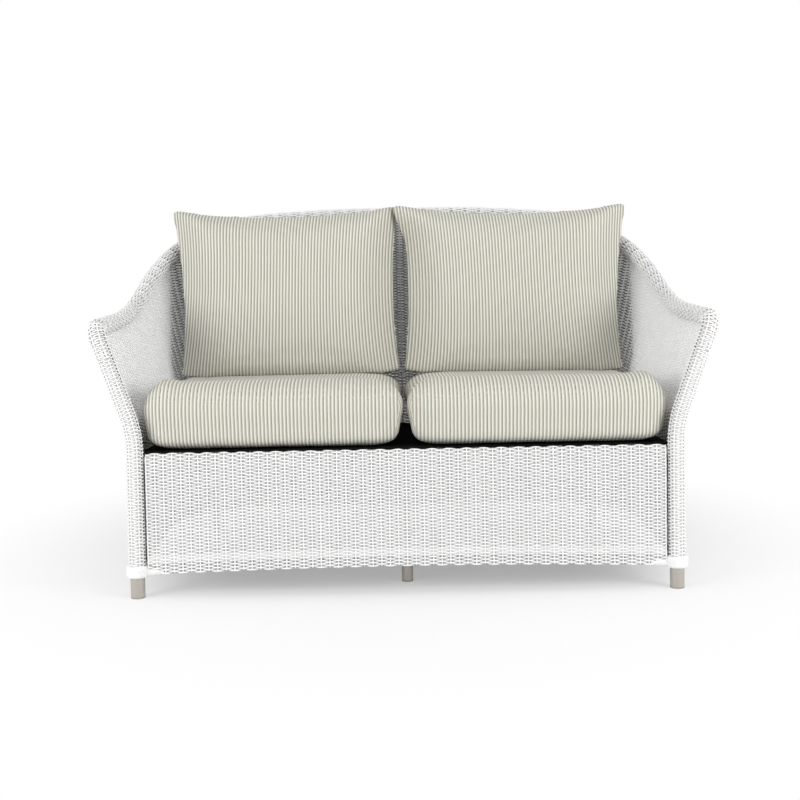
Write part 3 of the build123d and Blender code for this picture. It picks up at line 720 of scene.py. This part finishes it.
def carried_frames(points):
    """Two directions square to a line at each of its points, without twist."""
    tangents = np.gradient(points, axis=0)
    tangents /= np.linalg.norm(tangents, axis=1)[:, None]
    side = np.cross(tangents[0], (0.0, 1.0, 0.0))
    side /= np.linalg.norm(side)
    sides = [side]
    for tangent in tangents[1:]:
        side = side - tangent * side.dot(tangent)
        side /= np.linalg.norm(side)
        sides.append(side)
    sides = np.array(sides)
    return sides, np.cross(tangents, sides)


def rings_on(guides, stakes, line, radius):
    """Wefts ringed round a line, and stakes that run along it."""
    sides, others = carried_frames(line)
    angles = np.linspace(0, 2 * math.pi, 4 * WRAP_STAKES, endpoint=False)
    for row, (centre, side, other) in enumerate(zip(line, sides, others)):
        outward = np.cos(angles)[:, None] * side + np.sin(angles)[:, None] * other
        beats = angles / (2 * math.pi) * WRAP_STAKES + row
        # Painted shade: the outer recesses are darkest on the sides of a wrap that face left and right
        guides.add(list(centre + radius * outward), list(beats), list(outward),
                   outer=0.4 + 5.0 * outward[:, 0] ** 6, closed=True)
    for k in range(WRAP_STAKES):
        angle = 2 * math.pi * k / WRAP_STAKES
        outward = math.cos(angle) * sides + math.sin(angle) * others
        stakes.add(list(line + radius * outward)[::2], [0.5] * len(line[::2]), list(outward)[::2], 0.0)


def runs_on(guides, stakes, line, radius, settings, row_count):
    """Wefts that run along a line, and stakes ringed round it."""
    sides, others = carried_frames(line)
    gaps = np.linalg.norm(np.diff(line, axis=0), axis=1)
    run = np.concatenate(([0.0], np.cumsum(gaps)))
    beats = run / settings.stake_pitch
    for row in range(row_count):
        angle = 2 * math.pi * row / row_count
        outward = math.cos(angle) * sides + math.sin(angle) * others
        guides.add(list(line + radius * outward), list(beats + row), list(outward))
    angles = np.linspace(0, 2 * math.pi, RING_BITS, endpoint=False)
    for k in range(1, int(beats[-1]) + 1):
        index = int(np.argmin(np.abs(beats - k)))
        outward = np.cos(angles)[:, None] * sides[index] + np.sin(angles)[:, None] * others[index]
        stakes.add(list(line[index] + radius * outward), [0.5] * len(angles), list(outward), 0.0, closed=True)


def kept_runs(values, sample, reach):
    """Stretches of a row of values whose sampled points lie on the panel, ends refined."""
    kept = [reach(sample(v)[0]) < PANEL_LIMIT for v in values]
    runs = []
    i = 0
    while i < len(values):
        if not kept[i]:
            i += 1
            continue
        j = i
        while j + 1 < len(values) and kept[j + 1]:
            j += 1
        run = list(values[i:j + 1])
        for end, beyond in ((0, i - 1), (-1, j + 1)):
            if 0 <= beyond < len(values):
                edge = run[end]
                for share in (0.75, 0.5, 0.25):
                    trial = edge + (values[beyond] - edge) * share
                    if reach(sample(trial)[0]) < PANEL_LIMIT:
                        run.insert(0 if end == 0 else len(run), trial)
                        break
        if len(run) > 1:
            runs.append(run)
        i = j + 1
    return runs


def shell_guides(shell, strand, node, first, last):
    """Weft and stake guides of one panel between two stake numbers."""
    reach = panel_reach(node)
    wefts, stakes = Guides(), Guides()
    top = shell.sizes.crown_height / math.cos(shell.sizes.flare)
    stations = np.arange(first * BITS_PER_STAKE, last * BITS_PER_STAKE + 1) / BITS_PER_STAKE
    for row in range(int(top / strand.row_pitch)):
        run = (row + 0.5) * strand.row_pitch
        if shell.section(run)[1] > shell.sizes.crown_height:
            break
        for kept in kept_runs(stations, lambda s: shell.point(s, run), reach):
            placed = [shell.point(s, run) for s in kept]
            wefts.add([p for p, n in placed], [s + row for s in kept], [n for p, n in placed],
                      swing=0.7, inner=[shell.inner_shade(s, run) for s in kept])
    heights = np.arange(0, top, 2 * strand.row_pitch)
    for station in range(math.ceil(first), math.floor(last) + 1):
        for kept in kept_runs(heights, lambda r: shell.point(station, r), reach):
            placed = [shell.point(station, r) for r in kept]
            stakes.add([p for p, n in placed], [0.5] * len(kept), [n for p, n in placed], 0.0)
    return wefts, stakes


# Operators

class LOVESEAT_OT_panels(bpy.types.Operator):
    """Weave the side panels and the back panel."""
    bl_idname = "loveseat.panels"
    bl_label = "Weave panels"

    def execute(self, context):
        scene = context.scene
        strand = scene.loveseat_strand
        shell = Shell(scene.loveseat_shell, strand)
        upright = shell.side_count + shell.corner_count * shell.sizes.upright_angle / (math.pi / 2)
        whole = 2 * shell.half_count
        stretches = (
            ("side_weave_right", "side_weave_right", 0, upright),
            ("back_weave_right", "back_weave", upright - 1, shell.half_count),
            ("back_weave_left", "back_weave", shell.half_count, whole - upright + 1),
            ("side_weave_left", "side_weave_left", whole - upright, whole),
        )
        for name, node, first, last in stretches:
            lay_weave(name, node, *shell_guides(shell, strand, node, math.floor(first), math.ceil(last)), strand)
        return {"FINISHED"}


class LOVESEAT_OT_skirt(bpy.types.Operator):
    """Weave the skirt with its arched hem and curled top."""
    bl_idname = "loveseat.skirt"
    bl_label = "Weave skirt"

    def execute(self, context):
        scene = context.scene
        strand, sizes = scene.loveseat_strand, scene.loveseat_shell
        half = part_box("skirt_weave")[1][0]
        face = -sizes.depth / 2 + sizes.skirt_setback + 0.003
        curl = sizes.skirt_curl - 0.003
        rail_height = sizes.skirt_top - sizes.skirt_curl * math.sin(sizes.skirt_curl_angle)
        straight = rail_height - sizes.hem_height
        reach = panel_reach("skirt_weave")

        def point(x, run):
            """Point on the skirt's middle at a distance up from the hem."""
            arch = sizes.hem_arch * (1 - (x / half) ** 2)
            if run <= straight:
                rise = arch * (1 - run / straight)
                return (x, face, sizes.hem_height + rise + run), (0.0, -1.0, 0.0)
            angle = (run - straight) / curl
            out = (0.0, -math.cos(angle), math.sin(angle))
            return (x, face + curl - curl * math.cos(angle), rail_height + curl * math.sin(angle)), out

        count = 2 * round(half / strand.stake_pitch)
        pitch = 2 * half / count
        top = straight + curl * sizes.skirt_curl_angle
        wefts, stakes = Guides(), Guides()
        rows = int(top / strand.row_pitch)
        stations = np.arange(0, count * BITS_PER_STAKE + 1) / BITS_PER_STAKE
        for row in range(rows + 1):
            run = strand.weft / 2 + row * (top - strand.weft / 2) / rows
            # Swing sets both the weave's depth and the strength of its painted recess shade on the front: more in
            # the lowest rows, less in rows 6 to 10
            swing = 0.6 if 6 <= row <= 10 else 1.25 if row < 6 else 1.0
            for kept in kept_runs(stations, lambda s: point(s * pitch - half, run), reach):
                placed = [point(s * pitch - half, run) for s in kept]
                wefts.add([p for p, n in placed], [s + row for s in kept], [n for p, n in placed], swing, swing)
        heights = np.linspace(strand.weft / 2, top, 34)
        for station in range(count + 1):
            for kept in kept_runs(heights, lambda r: point(station * pitch - half, r), reach):
                placed = [point(station * pitch - half, r) for r in kept]
                stakes.add([p for p, n in placed], [0.5] * len(kept), [n for p, n in placed], 0.0)
        lay_weave("skirt", "skirt_weave", wefts, stakes, strand)
        return {"FINISHED"}


class LOVESEAT_OT_wraps(bpy.types.Operator):
    """Weave the wraps round the posts, the arms, the crown and the rear uprights."""
    bl_idname = "loveseat.wraps"
    bl_label = "Weave wraps"

    def execute(self, context):
        scene = context.scene
        strand, sizes = scene.loveseat_strand, scene.loveseat_shell
        shell = Shell(sizes, strand)
        corners = shell.rail_corners()
        line = rounded(corners, {1: sizes.knee_bend, 2: sizes.tip_bend}, strand.row_pitch)
        radius = sizes.wrap_radius - strand.depth - strand.weft / 2
        rows = round(2 * math.pi * radius / strand.row_pitch / 2) * 2
        half = len(line) // 2
        right = line[:half + 1]
        post_end = corners[1].lerp(corners[2], 0.72).z
        post_last = int(np.argmax(right[:, 2] > post_end))
        tip = int(np.argmax(right[:, 1] > shell.post_y + sizes.tip_bend * 0.6))
        arm_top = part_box("arm_wrap_right")[1][2]
        climbed = right[:, 2] > arm_top - sizes.wrap_radius * 1.1
        joint = int(np.argmax((right[:, 1] > shell.corner_y) & climbed))
        for name, sign in SIDES.items():
            turn = np.array((sign, 1, 1))
            wefts, stakes = Guides(), Guides()
            rings_on(wefts, stakes, right[:post_last] * turn, radius)
            lay_weave(f"post_wrap_{name}", f"post_wrap_{name}", wefts, stakes, strand)
            wefts, stakes = Guides(), Guides()
            rings_on(wefts, stakes, right[post_last:tip] * turn, radius)
            runs_on(wefts, stakes, right[tip - 2:joint][::2] * turn, radius, strand, rows)
            lay_weave(f"arm_wrap_{name}", f"arm_wrap_{name}", wefts, stakes, strand)
            self.upright(shell, strand, name, sign)
        wefts, stakes = Guides(), Guides()
        whole = np.concatenate((right[joint - 1:], (right[joint - 1:-1] * np.array((-1, 1, 1)))[::-1]))
        runs_on(wefts, stakes, whole[::2], radius, strand, rows)
        lay_weave("crown_wrap", "crown_wrap", wefts, stakes, strand)
        return {"FINISHED"}

    def upright(self, shell, strand, name, sign):
        """Wrap of one rear upright, from its cuff to the rail."""
        sizes = shell.sizes
        out = Vector((math.cos(sizes.upright_angle), math.sin(sizes.upright_angle), 0))
        centre = Vector((shell.corner_x, shell.corner_y, 0))
        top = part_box(f"rear_wrap_{name}")[1][2] - sizes.upright_wrap / 2
        corners = [
            centre + out * sizes.corner_radius + Vector((0, 0, sizes.cuff_top)),
            centre + out * sizes.corner_radius + Vector((0, 0, sizes.knee_height)),
            centre + out * (sizes.corner_radius + (top - sizes.knee_height) * shell.slope) + Vector((0, 0, top)),
        ]
        line = rounded(corners, {1: sizes.knee_bend}, strand.row_pitch) * np.array((sign, 1, 1))
        wefts, stakes = Guides(), Guides()
        rings_on(wefts, stakes, line, sizes.upright_wrap - strand.depth - strand.weft / 2)
        lay_weave(f"rear_wrap_{name}", f"rear_wrap_{name}", wefts, stakes, strand)


class LOVESEAT_OT_finishes(bpy.types.Operator):
    """Give the tubes, cuffs, straps and glides their finishes."""
    bl_idname = "loveseat.finishes"
    bl_label = "Finish tubes and straps"

    def execute(self, context):
        finishes = {
            "frame_tube": "champagne tube", "black_webbing": "black webbing", "foot_glide": "foot glide",
            "white_weave": "white cuff",
        }
        for part in frame["record"]["subparts"]:
            node = frame["nodes"][part["node"]]
            if node.hide_render or part["material_slot"] not in finishes:
                continue
            material = shared_material(finishes[part["material_slot"]])
            node.data.materials.clear()
            node.data.materials.append(material)
        return {"FINISHED"}


def cushion_start(node, shrink, voxel):
    """Closed mesh of a CAD cushion, drawn in a little and remeshed."""
    made = bmesh.new()
    made.from_mesh(frame["nodes"][node].data)
    bmesh.ops.remove_doubles(made, verts=made.verts, dist=1e-5)
    bmesh.ops.recalc_face_normals(made, faces=made.faces)
    made.normal_update()
    for corner in made.verts:
        corner.co -= corner.normal * shrink
    mesh = bpy.data.meshes.new(node)
    made.to_mesh(mesh)
    made.free()
    piece = new_piece(node.replace("cushion", "pad"), mesh)
    remesh = piece.modifiers.new("Remesh", "REMESH")
    remesh.mode = "VOXEL"
    remesh.voxel_size = voxel
    plain_mesh(piece)
    return piece


def fill_cushion(piece, settings, cap):
    """Blows the cover up with Cloth, holds each point within the cap and keeps the result as the mesh."""
    scene = bpy.context.scene
    start = corners_of(piece)
    cloth = piece.modifiers.new("Cloth", "CLOTH")
    cloth.settings.use_pressure = True
    cloth.settings.uniform_pressure_force = settings.pressure
    cloth.settings.effector_weights.gravity = 0
    cloth.settings.tension_stiffness = 12
    cloth.settings.compression_stiffness = 12
    cloth.settings.bending_stiffness = 0.6
    cloth.point_cache.frame_end = settings.frames
    for step in range(1, settings.frames + 1):
        scene.frame_set(step)
    plain_mesh(piece)
    scene.frame_set(1)
    move = corners_of(piece) - start
    reach = np.linalg.norm(move, axis=1)
    share = np.minimum(1.0, cap / np.maximum(reach, 1e-9))
    set_corners(piece, start + move * share[:, None])


def fit_cushion(piece, node, lean, slack):
    """Stretches a filled cover to the reach of its CAD cushion, measured along the cushion's own lean."""
    turn = np.array(Matrix.Rotation(lean, 3, "X")).T
    solid = corners_of(frame["nodes"][node]) @ turn
    cover = corners_of(piece) @ turn
    low, high = solid.min(axis=0) + slack, solid.max(axis=0) - slack
    share = (cover - cover.min(axis=0)) / (cover.max(axis=0) - cover.min(axis=0))
    set_corners(piece, (low + share * (high - low)) @ turn.T)


def press_rear(piece, node, depth, start, end):
    """Presses the top of a seat cover down towards the back, where the back cushion weighs on it."""
    low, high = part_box(node)
    corners = corners_of(piece)
    along = np.clip((corners[:, 1] - start) / (end - start), 0, 1)
    up = np.clip((corners[:, 2] - low[2]) / (high[2] - low[2]), 0, 1)
    corners[:, 2] -= depth * along * (2 - along) * up
    set_corners(piece, corners)


def square_shoulder(piece, sign, lift, reach):
    """Lifts the cover beside its outer edge, so that the top runs level nearly to the arm."""
    corners = corners_of(piece)
    side = corners[:, 0] * sign
    inward = np.clip((side.max() - side) / reach, 0, 1)
    height = (corners[:, 2] - corners[:, 2].min()) / np.ptp(corners[:, 2])
    corners[:, 2] += lift * np.sin(inward * math.pi) ** 2 * np.clip(2 * height - 1, 0, 1)
    set_corners(piece, corners)


def let_down(piece, depth, reach):
    """Lets the foot of a back cover down onto the pressed seat."""
    corners = corners_of(piece)
    share = np.clip(1 - (corners[:, 2] - corners[:, 2].min()) / reach, 0, 1)
    corners[:, 2] -= depth * share
    set_corners(piece, corners)


def draw_ear(piece, move, reach):
    """Draws the upper corner nearest the loveseat's middle over the neighbouring cushion."""
    corners = corners_of(piece)
    tip = corners[np.argmax(corners[:, 2] - corners[:, 0])]
    share = np.clip(1 - np.linalg.norm(corners - tip, axis=1) / reach, 0, 1)
    smooth = share * share * (3 - 2 * share)
    set_corners(piece, corners + smooth[:, None] * np.array(move))


def finish_cushion(piece, node, body):
    for face in piece.data.polygons:
        face.use_smooth = True
    piece.data.materials.clear()
    piece.data.materials.append(shared_material("striped cover"))
    rounding = piece.modifiers.new("Subdivision", "SUBSURF")
    rounding.levels = rounding.render_levels = 1
    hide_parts(node)
    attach(piece, body)


def lay_pattern(piece, place):
    """Writes the cover's pattern map; place gives (across, along) for a point and its face's normal."""
    mesh = piece.data
    layer = mesh.uv_layers.new(name=PATTERN_MAP)
    for face in mesh.polygons:
        for loop in face.loop_indices:
            corner = mesh.vertices[mesh.loops[loop].vertex_index].co
            layer.data[loop].uv = place(corner, face.normal)


class LOVESEAT_OT_seat_cushions(bpy.types.Operator):
    """Fill and cover the two seat cushions."""
    bl_idname = "loveseat.seat_cushions"
    bl_label = "Make seat cushions"

    def execute(self, context):
        settings = context.scene.loveseat_cushion
        for name, sign in SIDES.items():
            node = f"seat_cushion_{name}"
            piece = cushion_start(node, settings.shrink, settings.voxel)
            fill_cushion(piece, settings, settings.seat_cap)
            fit_cushion(piece, node, settings.seat_fall, settings.slack)
            press_rear(piece, node, settings.press, -0.36, 0.06)
            square_shoulder(piece, sign, settings.shoulder, 0.1)
            low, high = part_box(node)
            middle = (low[0] + high[0]) / 2

            def place(corner, normal):
                if abs(normal.x) > 0.8:
                    return corner.y, corner.z
                return corner.x - middle, corner.z - corner.y
            lay_pattern(piece, place)
            finish_cushion(piece, node, f"{name}_seat")
        return {"FINISHED"}


class LOVESEAT_OT_back_cushions(bpy.types.Operator):
    """Fill and cover the two back cushions."""
    bl_idname = "loveseat.back_cushions"
    bl_label = "Make back cushions"

    def execute(self, context):
        settings = context.scene.loveseat_cushion
        for name, sign in SIDES.items():
            node = f"back_cushion_{name}"
            piece = cushion_start(node, settings.shrink, settings.voxel)
            fill_cushion(piece, settings, settings.back_cap)
            fit_cushion(piece, node, settings.back_lean, settings.slack)
            let_down(piece, settings.press, 0.2)
            if sign > 0:
                draw_ear(piece, settings.ear_draw, settings.ear_reach)
            low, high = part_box(node)
            middle = Vector(((low[0] + high[0]) / 2, (low[1] + high[1]) / 2, (low[2] + high[2]) / 2))
            half = (high[0] - low[0]) / 2
            tall = (high[2] - low[2]) / 2

            def place(corner, normal):
                rise = (corner.z - middle.z) / tall
                waist = half * (0.945 + 0.055 * rise * rise)
                across = (corner.x - middle.x) / waist
                return across * half * 0.96, corner.z
            lay_pattern(piece, place)
            finish_cushion(piece, node, f"{name}_back")
        return {"FINISHED"}


class LOVESEAT_OT_stage(bpy.types.Operator):
    """Set up the floor, the lights, the background and the camera."""
    bl_idname = "loveseat.stage"
    bl_label = "Set the stage"

    def execute(self, context):
        scene = context.scene
        stage = scene.loveseat_stage
        scene.view_settings.view_transform = "Standard"
        self.floor()
        self.sky(scene, stage.sky)
        for lamp in FRONT_LAMPS:
            self.lamp(*lamp, stage.key)
        self.lamp(*TOP_LAMP, stage.top)
        data = bpy.data.cameras.new("camera")
        data.lens = stage.lens
        data.sensor_width = 36
        data.shift_y = stage.shift
        data.dof.use_dof = False
        camera = bpy.data.objects.new("camera", data)
        scene.collection.objects.link(camera)
        camera.location = stage.camera_place
        camera.rotation_euler = (math.pi / 2 - stage.pitch, stage.roll, -stage.heading)
        camera.rotation_mode = "XYZ"
        scene.camera = camera
        return {"FINISHED"}

    def floor(self):
        made = bmesh.new()
        bmesh.ops.create_grid(made, x_segments=2, y_segments=2, size=FLOOR_SIZE)
        mesh = bpy.data.meshes.new("floor")
        made.to_mesh(mesh)
        made.free()
        floor = new_piece("floor", mesh)
        material, tree, shader = new_material("pale floor")
        shader.inputs["Base Color"].default_value = (0.9, 0.9, 0.9, 1)
        surface(shader, 0.9, 0.0)
        spread = tree.nodes.new("ShaderNodeVectorMath")
        spread.operation = "LENGTH"
        tree.links.new(tree.nodes.new("ShaderNodeTexCoord").outputs["Object"], spread.inputs[0])
        share = tree.nodes.new("ShaderNodeMapRange")
        tree.links.new(spread.outputs["Value"], share.inputs["Value"])
        share.interpolation_type = "SMOOTHSTEP"
        for socket, value in FLOOR_FADE:
            share.inputs[socket].default_value = value
        self.show_white(tree, shader.outputs[0], tree.nodes["Material Output"].inputs["Surface"],
                        share.outputs["Result"])
        mesh.materials.append(material)

    def sky(self, scene, strength):
        world = bpy.data.worlds.new("studio")
        world.use_nodes = True
        scene.world = world
        tree = world.node_tree
        even = tree.nodes["Background"]
        even.inputs["Color"].default_value = (1, 1, 1, 1)
        even.inputs["Strength"].default_value = strength
        self.show_white(tree, even.outputs[0], tree.nodes["World Output"].inputs["Surface"], 1.0)

    def show_white(self, tree, lit, output, share):
        """Camera, glossy and transmission rays see plain white for a share of the surface."""
        path = tree.nodes.new("ShaderNodeLightPath")
        seen = maths(tree, "MAXIMUM", maths(tree, "MAXIMUM", path.outputs["Is Camera Ray"],
                                            path.outputs["Is Glossy Ray"]), path.outputs["Is Transmission Ray"])
        kind = "ShaderNodeEmission" if output.node.type == "OUTPUT_MATERIAL" else "ShaderNodeBackground"
        white = tree.nodes.new(kind)
        white.inputs["Strength"].default_value = 1.0
        white.inputs["Color"].default_value = (1, 1, 1, 1)
        mix = tree.nodes.new("ShaderNodeMixShader")
        tree.links.new(maths(tree, "MULTIPLY", seen, share), mix.inputs[0])
        tree.links.new(lit, mix.inputs[1])
        tree.links.new(white.outputs[0], mix.inputs[2])
        tree.links.new(mix.outputs[0], output)

    def lamp(self, name, place, target, size, power):
        data = bpy.data.lights.new(name, "AREA")
        data.shape = "DISK"
        data.size = size
        data.energy = power
        lamp = bpy.data.objects.new(name, data)
        bpy.context.scene.collection.objects.link(lamp)
        lamp.location = place
        lamp.rotation_euler = (Vector(target) - Vector(place)).to_track_quat("-Z", "Y").to_euler()


MATERIALS = {
    "white strand": (strand_material, "loveseat_strand"),
    "white cuff": (smooth_white_material, "loveseat_strand"),
    "champagne tube": (tube_material, "loveseat_metal"),
    "black webbing": (strap_material, "loveseat_metal"),
    "foot glide": (glide_material, "loveseat_metal"),
    "striped cover": (cover_material, "loveseat_cushion"),
}


def shared_material(name):
    """The named finish, made once."""
    if name not in bpy.data.materials:
        make, settings = MATERIALS[name]
        make(getattr(bpy.context.scene, settings))
    return bpy.data.materials[name]


class LOVESEAT_PT_panel(bpy.types.Panel):
    """Panel that lists the loveseat's operators and settings."""
    bl_label = "Woven loveseat"
    bl_idname = "LOVESEAT_PT_panel"
    bl_space_type = "VIEW_3D"
    bl_region_type = "UI"
    bl_category = "Loveseat"

    def draw(self, context):
        for operator in OPERATORS:
            self.layout.operator(operator.bl_idname)
        for title, group in SETTINGS.items():
            box = self.layout.box()
            for name in group.__annotations__:
                box.prop(getattr(context.scene, title), name)


OPERATORS = (
    LOVESEAT_OT_stage, LOVESEAT_OT_panels, LOVESEAT_OT_skirt, LOVESEAT_OT_wraps, LOVESEAT_OT_seat_cushions,
    LOVESEAT_OT_back_cushions, LOVESEAT_OT_finishes,
)


def register():
    for group in SETTINGS.values():
        bpy.utils.register_class(group)
    for operator in OPERATORS:
        bpy.utils.register_class(operator)
    bpy.utils.register_class(LOVESEAT_PT_panel)
    for title, group in SETTINGS.items():
        setattr(bpy.types.Scene, title, PointerProperty(type=group))


def unregister():
    for title in SETTINGS:
        delattr(bpy.types.Scene, title)
    for part in (LOVESEAT_PT_panel, *reversed(OPERATORS), *SETTINGS.values()):
        bpy.utils.unregister_class(part)


def main():
    register()
    for name in ("stage", "panels", "skirt", "wraps", "seat_cushions", "back_cushions", "finishes"):
        getattr(bpy.ops.loveseat, name)()


if __name__ == "__main__":
    main()
